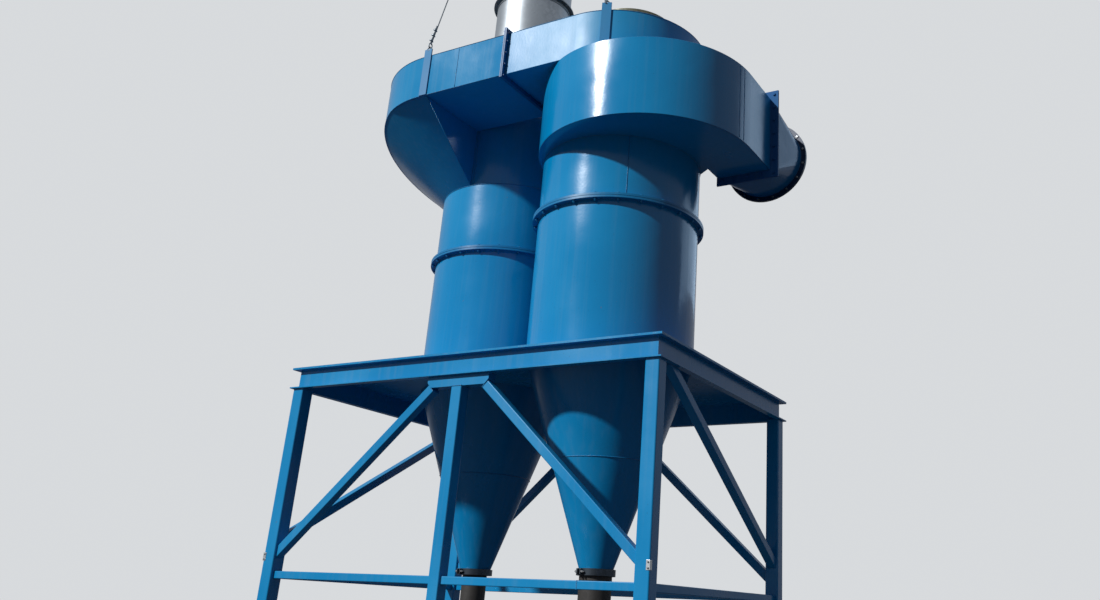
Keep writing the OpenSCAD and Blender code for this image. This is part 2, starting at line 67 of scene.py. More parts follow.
# Studio: a plain pale floor that keeps the plant's shadow, an even pale backdrop, one key lamp
# high at the front left, where the sun stands in the photograph, and a soft pale card behind at
# the right, which shows only as a sheen on the glossy sides that face it.
def srgb(code):
    parts = [int(code[i:i + 2], 16) / 255 for i in (1, 3, 5)]
    return [p / 12.92 if p <= 0.04045 else ((p + 0.055) / 1.055) ** 2.4 for p in parts] + [1]


def add_node(tree, kind, links=None, values=None, **settings):
    made = tree.nodes.new(kind)
    for name, value in settings.items():
        if name in made.bl_rna.properties:
            setattr(made, name, value)
        else:
            made.inputs[name.replace("_", " ")].default_value = value
    for socket, value in (values or {}).items():
        made.inputs[socket].default_value = value
    for socket, source in (links or {}).items():
        tree.links.new(source, made.inputs[socket])
    return made


bpy.context.scene.view_settings.view_transform = "Standard"
world = bpy.data.worlds.new("studio")
bpy.context.scene.world = world
world.use_nodes = True
sky = world.node_tree
sky.nodes.clear()
# The paint mirrors this share of the backdrop, as its real surroundings were darker
mirror_share = 0.4
rays = add_node(sky, "ShaderNodeLightPath")
mirrored = add_node(sky, "ShaderNodeMath", {0: rays.outputs["Is Glossy Ray"]}, {1: mirror_share},
                    operation="MULTIPLY")
seen = add_node(sky, "ShaderNodeMath", {0: rays.outputs["Is Camera Ray"], 1: mirrored.outputs[0]},
                operation="MAXIMUM")
soft = add_node(sky, "ShaderNodeBackground", Color=srgb("#BACBF2"), Strength=0.15)
pale = add_node(sky, "ShaderNodeBackground", Color=srgb("#EEF1F4"), Strength=0.8)
both = add_node(sky, "ShaderNodeMixShader", {0: seen.outputs[0], 1: soft.outputs[0], 2: pale.outputs[0]})
add_node(sky, "ShaderNodeOutputWorld", {"Surface": both.outputs[0]})

bpy.ops.object.light_add(type="SUN", rotation=(math.radians(57), 0, math.radians(-28)))
key = bpy.context.object
key.name = "key"
key.data.energy = 3.5
key.data.angle = math.radians(2.5)

bpy.ops.object.light_add(type="AREA", location=(4.0, 8.2, 8.95),
                         rotation=(math.radians(-90), 0, math.radians(-22.5)))
card = bpy.context.object
card.name = "card"
card.data.shape = "RECTANGLE"
card.data.size = 9.3
card.data.size_y = 4.5
card.data.color = srgb("#B8DDFF")[:3]
card.data.energy = 160
card.visible_camera = False
card.visible_diffuse = False

bpy.ops.mesh.primitive_plane_add(size=160, location=(0, 0, 0))
floor = bpy.context.object
floor.name = "floor"
matt_board = bpy.data.materials.new("pale_floor")
matt_board.use_nodes = True
floor_tree = matt_board.node_tree
rays = add_node(floor_tree, "ShaderNodeLightPath")
tone = add_node(floor_tree, "ShaderNodeMix", {0: rays.outputs["Is Camera Ray"]},
                {6: srgb("#3C4045"), 7: srgb("#F2F0EA")}, data_type="RGBA")
floor_tree.links.new(tone.outputs[2], floor_tree.nodes["Principled BSDF"].inputs["Base Color"])
floor_tree.nodes["Principled BSDF"].inputs["Roughness"].default_value = 0.85
floor.data.materials.append(matt_board)


# Footings: six 200 mm plates of 12 mm steel, each held down by four M16 anchor studs with
# washers and nuts. Rain splashes dust on them, and rust creeps in from their cut edges.
def enamel(name, colour, faded, gloss=0.2, dust=0.08, splash_top=None):
    """Glossy alkyd machine enamel, sprayed: faded in patches, streaked by dusty rain."""
    paint = bpy.data.materials.new(name)
    paint.use_nodes = True
    tree = paint.node_tree
    shader = tree.nodes["Principled BSDF"]
    place = add_node(tree, "ShaderNodeTexCoord").outputs["Object"]
    # Sun-faded patches about 0.8 m wide
    patches = add_node(tree, "ShaderNodeTexNoise", {"Vector": place}, Scale=1.25, Detail=6.0)
    fade = add_node(tree, "ShaderNodeMapRange", {0: patches.outputs[0]}, {1: 0.42, 2: 0.72, 4: 0.7})
    body = add_node(tree, "ShaderNodeMix", {0: fade.outputs[0]}, {6: srgb(colour), 7: srgb(faded)},
                    data_type="RGBA")
    # Rain streaks about 40 mm wide and 1 m long
    falls = add_node(tree, "ShaderNodeMapping", {0: place}, Scale=(24, 24, 0.8))
    streaks = add_node(tree, "ShaderNodeTexNoise", {"Vector": falls.outputs[0]}, Scale=1.0, Detail=4.0)
    run = add_node(tree, "ShaderNodeMapRange", {0: streaks.outputs[0]}, {1: 0.5, 2: 0.8, 4: dust})
    dusted = add_node(tree, "ShaderNodeMix", {0: run.outputs[0], 6: body.outputs[2]},
                      {7: srgb("#8FA3AD")}, data_type="RGBA")
    # Stone chips and grime specks about 12 mm across
    specks = add_node(tree, "ShaderNodeTexNoise", {"Vector": place}, Scale=80.0, Detail=3.0)
    grime = add_node(tree, "ShaderNodeMapRange", {0: specks.outputs[0]}, {1: 0.66, 2: 0.78, 4: 0.4})
    soiled = add_node(tree, "ShaderNodeMix", {0: grime.outputs[0], 6: dusted.outputs[2]},
                      {7: srgb("#14324A")}, data_type="RGBA")
    # Paint chips about 15 mm wide, few and far between, where the steel has begun to rust
    scars = add_node(tree, "ShaderNodeTexNoise", {"Vector": place}, Scale=33.0, Detail=5.0, Roughness=0.62)
    spread = add_node(tree, "ShaderNodeTexNoise", {"Vector": place}, Scale=2.4, Detail=2.0)
    worn = add_node(tree, "ShaderNodeMapRange", {0: spread.outputs[0]},
                    {1: 0.45, 2: 0.7, 3: -0.06, 4: 0.03})
    chance = add_node(tree, "ShaderNodeMath", {0: scars.outputs[0], 1: worn.outputs[0]}, operation="ADD")
    chips = add_node(tree, "ShaderNodeMapRange", {0: chance.outputs[0]}, {1: 0.715, 2: 0.735, 4: 0.85})
    colour_out = add_node(tree, "ShaderNodeMix", {0: chips.outputs[0], 6: soiled.outputs[2]},
                          {7: srgb("#6B4632")}, data_type="RGBA")
    if splash_top:
        height = add_node(tree, "ShaderNodeSeparateXYZ", {0: place})
        low = add_node(tree, "ShaderNodeMapRange", {0: height.outputs["Z"]},
                       {1: 0.0, 2: splash_top, 3: 1.0, 4: 0.0})
        blots = add_node(tree, "ShaderNodeTexNoise", {"Vector": place}, Scale=14.0, Detail=8.0)
        wet = add_node(tree, "ShaderNodeMapRange", {0: blots.outputs[0]}, {1: 0.35, 2: 0.62})
        mud = add_node(tree, "ShaderNodeMath", {0: low.outputs[0], 1: wet.outputs[0]}, operation="MULTIPLY")
        colour_out = add_node(tree, "ShaderNodeMix", {0: mud.outputs[0], 6: colour_out.outputs[2]},
                              {7: srgb("#8A7258")}, data_type="RGBA")
    tree.links.new(colour_out.outputs[2], shader.inputs["Base Color"])
    matt = add_node(tree, "ShaderNodeMath", {0: fade.outputs[0], 1: run.outputs[0]}, operation="ADD")
    matt = add_node(tree, "ShaderNodeMath", {0: matt.outputs[0], 1: chips.outputs[0]}, operation="ADD")
    sheen = add_node(tree, "ShaderNodeMapRange", {0: matt.outputs[0]},
                     {1: 0.0, 2: 1.0, 3: gloss, 4: gloss + 0.22})
    tree.links.new(sheen.outputs[0], shader.inputs["Roughness"])
    # Sheet that is never quite flat, and the paint's own skin, drawn coarse enough to show
    waves = add_node(tree, "ShaderNodeTexNoise", {"Vector": place}, Scale=2.6, Detail=2.0)
    sheet_bump = add_node(tree, "ShaderNodeBump", {"Height": waves.outputs[0]}, Strength=0.5,
                          Distance=0.009)
    skin = add_node(tree, "ShaderNodeTexNoise", {"Vector": place}, Scale=55.0, Detail=2.0)
    skin_bump = add_node(tree, "ShaderNodeBump",
                         {"Height": skin.outputs[0], "Normal": sheet_bump.outputs[0]},
                         Strength=0.2, Distance=0.0012)
    tree.links.new(skin_bump.outputs[0], shader.inputs["Normal"])
    shader.inputs["IOR"].default_value = 1.50
    shader.inputs["Specular IOR Level"].default_value = 0.4
    return paint


def zinc(name, colour, dull, flake, rough):
    """Galvanised steel: grey zinc flakes of the given size in metres, dulled by weather."""
    metal = bpy.data.materials.new(name)
    metal.use_nodes = True
    tree = metal.node_tree
    shader = tree.nodes["Principled BSDF"]
    place = add_node(tree, "ShaderNodeTexCoord").outputs["Object"]
    flakes = add_node(tree, "ShaderNodeTexVoronoi", {"Vector": place}, Scale=1 / flake)
    shade = add_node(tree, "ShaderNodeMapRange", {0: flakes.outputs["Color"]}, {3: 0.0, 4: 0.55})
    weather = add_node(tree, "ShaderNodeTexNoise", {"Vector": place}, Scale=2.2, Detail=6.0)
    aged = add_node(tree, "ShaderNodeMapRange", {0: weather.outputs[0]}, {1: 0.4, 2: 0.75, 4: 0.7})
    most = add_node(tree, "ShaderNodeMath", {0: shade.outputs[0], 1: aged.outputs[0]}, operation="MAXIMUM")
    body = add_node(tree, "ShaderNodeMix", {0: most.outputs[0]}, {6: srgb(colour), 7: srgb(dull)},
                    data_type="RGBA")
    tree.links.new(body.outputs[2], shader.inputs["Base Color"])
    satin = add_node(tree, "ShaderNodeMapRange", {0: most.outputs[0]}, {3: rough, 4: rough + 0.25})
    tree.links.new(satin.outputs[0], shader.inputs["Roughness"])
    ripple = add_node(tree, "ShaderNodeTexNoise", {"Vector": place}, Scale=3.5, Detail=2.0)
    bump = add_node(tree, "ShaderNodeBump", {"Height": ripple.outputs[0]}, Strength=0.4, Distance=0.012)
    tree.links.new(bump.outputs[0], shader.inputs["Normal"])
    shader.inputs["Metallic"].default_value = 0.9
    return metal


def dress(finish, *names):
    for name in names:
        nodes[name].material_slots[0].material = finish


def keep(piece, name, finish):
    """Applies a new piece's place, gives it its name and finish, and ties it to the plant."""
    bpy.ops.object.select_all(action="DESELECT")
    piece.select_set(True)
    bpy.context.view_layer.objects.active = piece
    bpy.ops.object.transform_apply(location=True, rotation=True, scale=True)
    piece.name = name
    piece.data.materials.clear()
    piece.data.materials.append(finish)
    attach(piece, "root")
    return piece


def join(parts):
    bpy.ops.object.select_all(action="DESELECT")
    for part in parts:
        part.select_set(True)
    bpy.context.view_layer.objects.active = parts[0]
    bpy.ops.object.join()
    return bpy.context.object


def hex_nut(across, height, washer_r, stud_l=0.0):
    """Nut or bolt head on its washer, with the stud's end above it, standing on Z = 0."""
    washer_t = 0.003
    bpy.ops.object.select_all(action="DESELECT")
    bpy.ops.mesh.primitive_cylinder_add(vertices=6, radius=across / math.sqrt(3), depth=height,
                                        location=(0, 0, washer_t + height / 2))
    nut = bpy.context.object
    bpy.ops.object.mode_set(mode="EDIT")
    bpy.ops.mesh.select_mode(type="FACE")
    bpy.ops.mesh.select_all(action="DESELECT")
    shape = bmesh.from_edit_mesh(nut.data)
    for face in shape.faces:
        face.select_set(face.normal.z > 0.9)
    bmesh.update_edit_mesh(nut.data)
    bpy.ops.mesh.inset(thickness=across * 0.09)
    bpy.ops.transform.translate(value=(0, 0, height * 0.1))
    if stud_l:
        bpy.ops.mesh.inset(thickness=across * 0.18)
        bpy.ops.mesh.extrude_region_move(TRANSFORM_OT_translate={"value": (0, 0, stud_l)})
        bpy.ops.transform.resize(value=(0.85, 0.85, 1), center_override=(0, 0, 0))
    bpy.ops.object.mode_set(mode="OBJECT")
    bpy.ops.object.select_all(action="DESELECT")
    bpy.ops.mesh.primitive_cylinder_add(vertices=16, radius=washer_r, depth=washer_t,
                                        location=(0, 0, washer_t / 2))
    bolt = join([nut, bpy.context.object])
    bpy.ops.object.transform_apply(location=True, rotation=True, scale=True)
    return bolt


def set_out(piece, spots, name, finish):
    """Copies a piece to each spot, a place and the direction its Z turns to, as one object."""
    copies = []
    for place, facing in spots:
        bpy.ops.object.select_all(action="DESELECT")
        piece.select_set(True)
        bpy.context.view_layer.objects.active = piece
        bpy.ops.object.duplicate()
        copy = bpy.context.object
        turn = Vector(facing).to_track_quat("Z", "Y").to_matrix().to_4x4()
        copy.matrix_world = Matrix.Translation(place) @ turn
        copies.append(copy)
    bpy.data.objects.remove(piece)
    return keep(join(copies), name, finish)


# Matt and dusty, splashed with brown mud from below
footing_enamel = enamel("footing_enamel", "#04709F", "#2A84AC", gloss=0.32, dust=0.3, splash_top=0.09)
dress(footing_enamel, "foot_plates")
# Hot-dip zinc on threads and hexagons: fine flakes, satin, browned where it has worn
anchor_zinc = zinc("anchor_zinc", "#9EA3A6", "#6F6A62", 0.006, 0.35)
post_names = ["front_left_post", "front_middle_post", "front_right_post",
              "back_left_post", "back_middle_post", "back_right_post"]
foot_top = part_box("foot_plates")[1][2]
anchor_off = 0.075
m16_nut = {"across": 0.024, "height": 0.013, "washer_r": 0.015, "stud_l": 0.018}


def middle(name):
    low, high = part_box(name)
    return (Vector(low) + Vector(high)) / 2


anchor_spots = []
for post in post_names:
    foot = middle(post)
    anchor_spots += [(Vector((foot.x + i * anchor_off, foot.y + j * anchor_off, foot_top)), (0, 0, 1))
                     for i in (-1, 1) for j in (-1, 1)]
set_out(hex_nut(**m16_nut), anchor_spots, "anchor_nuts", anchor_zinc)


# Posts and lower beams: square tube, mitre-cut and fillet-welded to the footings and the
# beams, then painted. Beads of weld run round each end, under the paint.
def weld_bead(name, sources, on_seam, radius, finish):
    """Bead of weld along the creases of the nodes whose both ends lie on the seam."""
    beads = []
    for source in sources:
        bead = bpy.data.objects.new(name, nodes[source].data.copy())
        bpy.context.collection.objects.link(bead)
        bpy.ops.object.select_all(action="DESELECT")
        bead.select_set(True)
        bpy.context.view_layer.objects.active = bead
        bpy.ops.object.mode_set(mode="EDIT")
        bpy.ops.mesh.select_mode(type="EDGE")
        bpy.ops.mesh.select_all(action="SELECT")
        bpy.ops.mesh.remove_doubles(threshold=0.0003)
        bpy.ops.mesh.select_all(action="DESELECT")
        shape = bmesh.from_edit_mesh(bead.data)
        for edge in shape.edges:
            crease = len(edge.link_faces) == 2 and edge.calc_face_angle(0) > 0.35
            edge.select_set(crease and all(on_seam(corner.co) for corner in edge.verts))
        bmesh.update_edit_mesh(bead.data)
        bpy.ops.mesh.select_all(action="INVERT")
        bpy.ops.mesh.delete(type="EDGE_FACE")
        bpy.ops.object.mode_set(mode="OBJECT")
        bpy.ops.object.convert(target="CURVE")
        bead = bpy.context.object
        bead.data.bevel_depth = radius
        bead.data.bevel_resolution = 1
        bead.data.use_fill_caps = True
        bpy.ops.object.convert(target="MESH")
        beads.append(bpy.context.object)
    whole = join(beads)
    bpy.ops.object.mode_set(mode="EDIT")
    bpy.ops.mesh.select_all(action="SELECT")
    bpy.ops.mesh.remove_doubles(threshold=0.00001)
    bpy.ops.mesh.normals_make_consistent(inside=False)
    bpy.ops.object.mode_set(mode="OBJECT")
    bpy.ops.object.shade_smooth()
    return keep(whole, name, finish)


def weld_enamel(name, colour, faded):
    """The same enamel over a weld: the bead's ripples, 4 mm apart, break its shine."""
    paint = enamel(name, colour, faded, gloss=0.28)
    tree = paint.node_tree
    place = add_node(tree, "ShaderNodeTexCoord").outputs["Object"]
    ripples = add_node(tree, "ShaderNodeTexNoise", {"Vector": place}, Scale=250.0, Detail=1.0)
    bump = add_node(tree, "ShaderNodeBump", {"Height": ripples.outputs[0]}, Strength=0.8, Distance=0.003)
    tree.links.new(bump.outputs[0], tree.nodes["Principled BSDF"].inputs["Normal"])
    return paint


# Glossy blue on drawn tube, softened a little by dust; the posts are muddy at the foot
post_enamel = enamel("post_enamel", "#0484BC", "#1690C6", gloss=0.24, splash_top=0.16)
beam_enamel = enamel("beam_enamel", "#0484BC", "#1690C6", gloss=0.24)
# Thicker and darker in a weld's ripples, which glint in short dashes
bead_enamel = weld_enamel("bead_enamel", "#046FA6", "#1A80B0")
dress(post_enamel, *post_names)
beam_names = ["front_lower_beams", "back_lower_beams", "side_lower_beams"]
dress(beam_enamel, *beam_names)
weld_bead("post_end_welds", post_names, lambda corner: True, 0.004, bead_enamel)
weld_bead("lower_beam_end_welds", beam_names, lambda corner: True, 0.003, bead_enamel)

# Splice: the front lower beam is made of two lengths of tube that meet right of its middle in
# a butt weld, ground down to a low band and painted over.
splice_x = 0.91
splice_w = 0.008
splice_rise = 0.003
beam_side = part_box("front_lower_beams")[1][2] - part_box("front_lower_beams")[0][2]


def soft_block(size, place, edge):
    """Block with rounded edges."""
    bpy.ops.object.select_all(action="DESELECT")
    bpy.ops.mesh.primitive_cube_add(size=1, location=place, scale=size)
    block = bpy.context.object
    bpy.ops.object.transform_apply(location=True, rotation=True, scale=True)
    bpy.ops.object.modifier_add(type="BEVEL")
    block.modifiers["Bevel"].width = edge
    block.modifiers["Bevel"].segments = 2
    bpy.ops.object.modifier_apply(modifier="Bevel")
    return block


splice_place = (splice_x, middle("front_lower_beams").y, middle("front_lower_beams").z)
splice_side = beam_side + splice_rise
keep(soft_block((splice_w, splice_side, splice_side), splice_place, 0.0014),
     "splice_weld", bead_enamel)

# Clips: a small bright angle, 57 mm high and 26 mm wide, screwed to the outer front corner
# of each front corner post just above the lower beam.
clip_z = 1.853
clip_h = 0.057
clip_w = 0.026
clip_t = 0.003
clip_gap = 0.0002
clip_edge = 0.0008
screw_in = 0.010
screw_rise = 0.017
m5_head = {"across": 0.008, "height": 0.004, "washer_r": 0.006}
# Bright electro-zinc, newer than the rest, so it shows nearly white
clip_zinc = zinc("clip_zinc", "#D8DCDD", "#A3A8AA", 0.004, 0.3)
clip_corners = []
for post, side in (("front_left_post", -1), ("front_right_post", 1)):
    low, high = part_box(post)
    clip_corners.append(((low if side < 0 else high)[0], low[1], side))
clips = []
for corner_x, corner_y, side in clip_corners:
    front_leg = (corner_x + side * (clip_t - clip_w / 2), corner_y - clip_t / 2, clip_z)
    side_leg = (corner_x + side * clip_t / 2, corner_y + clip_gap + (clip_w - clip_t) / 2, clip_z)
    clips.append(soft_block((clip_w, clip_t, clip_h), front_leg, clip_edge))
    clips.append(soft_block((clip_t, clip_w - clip_t, clip_h), side_leg, clip_edge))
keep(join(clips), "post_clips", clip_zinc)
screw_spots = [(Vector((corner_x - side * screw_in, corner_y - clip_t, clip_z + rise)), (0, -1, 0))
               for corner_x, corner_y, side in clip_corners for rise in (-screw_rise, screw_rise)]
set_out(hex_nut(**m5_head), screw_spots, "clip_screws", anchor_zinc)


# Deck: 6 mm plate on a ring of 152 mm channels with their toes out. The plate overhangs
# nothing, its edge is welded to the channels, and each cone drops through its own hole.
def run_beads(name, radius, rings=(), lines=(), finish=None):
    """Weld beads: level rings (centre, radius) and straight runs (start, end)."""
    beads = []
    for centre, ring_r in rings:
        bpy.ops.object.select_all(action="DESELECT")
        bpy.ops.mesh.primitive_torus_add(major_radius=ring_r, minor_radius=radius, major_segments=150,
                                         minor_segments=8, location=centre)
        beads.append(bpy.context.object)
    for start, end in lines:
        along = Vector(end) - Vector(start)
        bpy.ops.object.select_all(action="DESELECT")
        bpy.ops.mesh.primitive_cylinder_add(vertices=8, radius=radius, depth=along.length)
        bead = bpy.context.object
        bpy.ops.object.mode_set(mode="EDIT")
        bpy.ops.mesh.select_mode(type="EDGE")
        bpy.ops.mesh.select_all(action="DESELECT")
        shape = bmesh.from_edit_mesh(bead.data)
        for edge in shape.edges:
            edge.select_set(edge.calc_length() > 0.9 * along.length)
        bmesh.update_edit_mesh(bead.data)
        bpy.ops.mesh.subdivide(number_cuts=max(1, int(along.length / 0.025)))
        bpy.ops.object.mode_set(mode="OBJECT")
        turn = along.to_track_quat("Z", "Y").to_matrix().to_4x4()
        bead.matrix_world = Matrix.Translation((Vector(start) + Vector(end)) / 2) @ turn
        beads.append(bead)
    whole = keep(join(beads), name, finish)
    bpy.ops.object.mode_set(mode="EDIT")
    bpy.ops.mesh.select_all(action="SELECT")
    bpy.ops.transform.vertex_random(offset=radius * 0.22, seed=7)
    bpy.ops.object.mode_set(mode="OBJECT")
    bpy.ops.object.shade_smooth()
    return whole


# The same gloss, but dustier, since a deck holds what falls on it
deck_enamel = enamel("deck_enamel", "#0484BC", "#1C93C8", gloss=0.22, dust=0.14)
channel_names = ["front_deck_beam", "back_deck_beam", "left_deck_beam", "right_deck_beam"]
dress(deck_enamel, "deck_plate", *channel_names)
(deck_x0, deck_y0, deck_under), (deck_x1, deck_y1, deck_top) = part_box("deck_plate")
inward = 0.002
edge_spots = [Vector((x, y, deck_under)) for x, y in ((deck_x0 + inward, deck_y0 + inward),
                                                      (deck_x1 - inward, deck_y0 + inward),
                                                      (deck_x1 - inward, deck_y1 - inward),
                                                      (deck_x0 + inward, deck_y1 - inward))]
run_beads("deck_edge_welds", 0.0022, lines=[(edge_spots[i], edge_spots[(i + 1) % 4]) for i in range(4)],
          finish=bead_enamel)

# Headers and braces: 76 mm headers over the middle posts and 64 mm square tube braces,
# cut square or on the mitre and welded all round.

# A shade duller than the vessels, as tube is painted by hand before it is put up
brace_enamel = enamel("brace_enamel", "#0582BA", "#188DC2", gloss=0.26)
brace_names = ["front_left_brace", "front_right_brace", "back_left_brace", "back_right_brace",
               "left_side_brace", "right_side_brace"]
header_names = ["front_header", "back_header"]
dress(brace_enamel, *brace_names, *header_names)
weld_bead("brace_end_welds", brace_names, lambda corner: True, 0.0035, bead_enamel)
header_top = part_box("front_header")[1][2]
# A corner lies on a seam when it is this near to it
seam_reach = 0.002
weld_bead("header_welds", header_names, lambda corner: abs(corner.z - header_top) < seam_reach, 0.0035,
          bead_enamel)

# Cones: 5 mm sheet rolled in two courses, with a girth weld between them and one weld down
# the back, hung from the barrels and welded to the deck where they drop through it.

# Smooth gloss on rolled sheet, so that the deck's shadow and the braces' show crisply
cone_enamel = enamel("cone_enamel", "#0480B8", "#158CC2", gloss=0.2, dust=0.08)
dress(cone_enamel, "primary_cone", "secondary_cone")
cone_low, cone_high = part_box("primary_cone")
barrel_r = (cone_high[0] - cone_low[0]) / 2
cone_tip_r = 0.118
girth_z = 2.564
tip_gap = 0.004
deck_gap = 0.010
cone_slope = (barrel_r - cone_tip_r) / (cone_high[2] - cone_low[2])


def cone_r(z):
    return cone_tip_r + cone_slope * (z - cone_low[2])


axes = [middle("primary_barrel"), middle("secondary_barrel")]
cone_rings = []
cone_lines = []
for axis in axes:
    cone_rings += [(Vector((axis.x, axis.y, z)), cone_r(z)) for z in (girth_z, deck_under, deck_top)]
    seam_top = deck_under - deck_gap
    cone_lines.append((Vector((axis.x, axis.y + cone_r(cone_low[2]), cone_low[2] + tip_gap)),
                       Vector((axis.x, axis.y + cone_r(seam_top), seam_top))))
run_beads("cone_welds", 0.0035, cone_rings, cone_lines, bead_enamel)

# Barrels: 5 mm sheet, 1220 mm across, rolled and seam-welded, and joined half way up by a
# pair of bolted rings with a dark rubber gasket between them.

# The glossiest paint on the plant: one sharp upright glint down each barrel
barrel_enamel = enamel("barrel_enamel", "#0484BB", "#128EC4", gloss=0.12, dust=0.06)
dress(barrel_enamel, "primary_barrel", "secondary_barrel")
# Darker on the rings, where two coats overlap and dust gathers round the bolts
joint_enamel = enamel("joint_enamel", "#0572A8", "#1B7FAE", gloss=0.28)
dress(joint_enamel, "barrel_joint_rings")
joint_low, joint_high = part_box("barrel_joint_rings")
joint_z = (joint_low[2] + joint_high[2]) / 2
joint_lip = 0.042
joint_bolts = 24
m12_head = {"across": 0.019, "height": 0.0075, "washer_r": 0.012}
m12_nut = {"across": 0.019, "height": 0.010, "washer_r": 0.012, "stud_l": 0.006}


def around(axis, radius, z, count, facing):
    """Spots for a ring of bolts about an upright axis."""
    turns = [2 * math.pi * i / count for i in range(count)]
    return [(Vector((axis.x + radius * math.cos(t), axis.y + radius * math.sin(t), z)), facing)
            for t in turns]


top_spots = []
under_spots = []
for axis in axes:
    top_spots += around(axis, barrel_r + joint_lip / 2, joint_high[2], joint_bolts, (0, 0, 1))
    under_spots += around(axis, barrel_r + joint_lip / 2, joint_low[2], joint_bolts, (0, 0, -1))
set_out(hex_nut(**m12_head), top_spots, "barrel_joint_bolts", joint_enamel)
set_out(hex_nut(**m12_nut), under_spots, "barrel_joint_nuts", joint_enamel)

rubber = bpy.data.materials.new("black_rubber_gasket")
rubber.use_nodes = True
tree = rubber.node_tree
# Sheet rubber, 3 mm thick, cut by hand: matt black that has greyed in patches 20 mm wide
place = add_node(tree, "ShaderNodeTexCoord").outputs["Object"]
patches = add_node(tree, "ShaderNodeTexNoise", {"Vector": place}, Scale=50.0, Detail=4.0)
grey = add_node(tree, "ShaderNodeMix", {0: patches.outputs[0]}, {6: srgb("#15181B"), 7: srgb("#34393D")},
                data_type="RGBA")
tree.links.new(grey.outputs[2], tree.nodes["Principled BSDF"].inputs["Base Color"])
rough = add_node(tree, "ShaderNodeMapRange", {0: patches.outputs[0]}, {3: 0.6, 4: 0.85})
tree.links.new(rough.outputs[0], tree.nodes["Principled BSDF"].inputs["Roughness"])


def turned_ring(axis, profile, sides=120):
    """Closed ring about an upright axis; its section has the corners (radius, height)."""
    bpy.ops.object.select_all(action="DESELECT")
    first_r, first_z = profile[0]
    bpy.ops.mesh.primitive_circle_add(vertices=sides, radius=first_r, location=(axis.x, axis.y, first_z))
    ring = bpy.context.object
    bpy.ops.object.transform_apply(location=True, rotation=True, scale=True)
    bpy.ops.object.mode_set(mode="EDIT")
    bpy.ops.mesh.select_mode(type="EDGE")
    bpy.ops.mesh.select_all(action="SELECT")
    for (r0, z0), (r1, z1) in zip(profile, profile[1:]):
        bpy.ops.mesh.extrude_edges_move(TRANSFORM_OT_translate={"value": (0, 0, z1 - z0)})
        bpy.ops.transform.resize(value=(r1 / r0, r1 / r0, 1), center_override=(axis.x, axis.y, z1))
    bpy.ops.mesh.select_all(action="DESELECT")
    bpy.ops.mesh.select_non_manifold()
    bpy.ops.mesh.bridge_edge_loops()
    bpy.ops.mesh.select_all(action="SELECT")
    bpy.ops.mesh.normals_make_consistent(inside=False)
    bpy.ops.object.mode_set(mode="OBJECT")
    return ring


gasket_half = 0.00145
gasket_in = barrel_r + 0.0006
gasket_out = barrel_r + joint_lip - 0.003
gaskets = [turned_ring(axis, [(gasket_in, joint_z - gasket_half), (gasket_out, joint_z - gasket_half),
                              (gasket_out, joint_z + gasket_half), (gasket_in, joint_z + gasket_half)])
           for axis in axes]
keep(join(gaskets), "barrel_gaskets", rubber)


def on_barrel(axis, bearing, z, radius=barrel_r):
    """Point on an upright wall at a bearing in degrees, 0 at the front, positive to the right."""
    turn = math.radians(bearing)
    return Vector((axis.x + radius * math.sin(turn), axis.y - radius * math.cos(turn), z))


inlet_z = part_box("primary_inlet_scroll")[0][2]
skirt_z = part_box("secondary_barrel")[1][2]
bead_out = 0.001
ring_heights = [(axes[0], inlet_z), (axes[1], skirt_z)]
ring_heights += [(axis, z) for axis in axes for z in (joint_low[2], joint_high[2])]
# Each upright seam of a barrel: its axis, its bearing in degrees, and its two ends
barrel_seams = [(axes[0], 35, joint_high[2], inlet_z), (axes[0], 165, cone_high[2], joint_low[2]),
                (axes[1], -160, joint_high[2], skirt_z), (axes[1], 150, cone_high[2], joint_low[2])]
run_beads("barrel_seam_welds", 0.003,
          rings=[(Vector((axis.x, axis.y, z)), barrel_r + bead_out) for axis, z in ring_heights],
          lines=[(on_barrel(axis, bearing, seam_low), on_barrel(axis, bearing, seam_high))
                 for axis, bearing, seam_low, seam_high in barrel_seams],
          finish=bead_enamel)

# Primary inlet scroll: 5 mm wall rolled to the spiral and welded to a flat floor and roof,
# with two upright seams where the roll ends and the straight inlet begins.

# Nearly as glossy as the barrels, with the glint broken where the roll is not quite even
scroll_enamel = enamel("scroll_enamel", "#0484BB", "#138FC5", gloss=0.15, dust=0.06)
dress(scroll_enamel, "primary_inlet_scroll", "primary_roof")
outlet_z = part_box("primary_roof")[1][2]
scroll_r = 0.845
scroll_axis = axes[0] + Vector((scroll_r - barrel_r, 0, 0))
scroll_bead = 0.003


def tuck(bead):
    """Draws a bead in about the scroll's axis, till it lies flush with the wall's outside."""
    bpy.ops.object.mode_set(mode="EDIT")
    bpy.ops.mesh.select_all(action="SELECT")
    inwards = (scroll_r - 1.2 * scroll_bead) / scroll_r
    bpy.ops.transform.resize(value=(inwards, inwards, 1), center_override=scroll_axis)
    bpy.ops.object.mode_set(mode="OBJECT")


tuck(weld_bead("scroll_floor_weld", ["primary_inlet_scroll"],
               lambda corner: abs(corner.z - inlet_z) < seam_reach
               and (corner.xy - axes[0].xy).length > barrel_r + seam_reach, scroll_bead, bead_enamel))
tuck(weld_bead("scroll_roof_weld", ["primary_roof"],
               lambda corner: abs(corner.z - outlet_z) < seam_reach
               and (corner.xy - axes[0].xy).length > barrel_r - 0.1, scroll_bead, bead_enamel))
run_beads("scroll_seams", 0.0028,
          lines=[(on_barrel(scroll_axis, bearing, inlet_z + 0.01, scroll_r),
                  on_barrel(scroll_axis, bearing, outlet_z - 0.01, scroll_r)) for bearing in (79, 83, -60)],
          finish=bead_enamel)

# Inlet: flanged rectangular mouth, a square-to-round transition folded from flat sheet, and
# a dark blue collar ring with a circle of sixteen bolts.

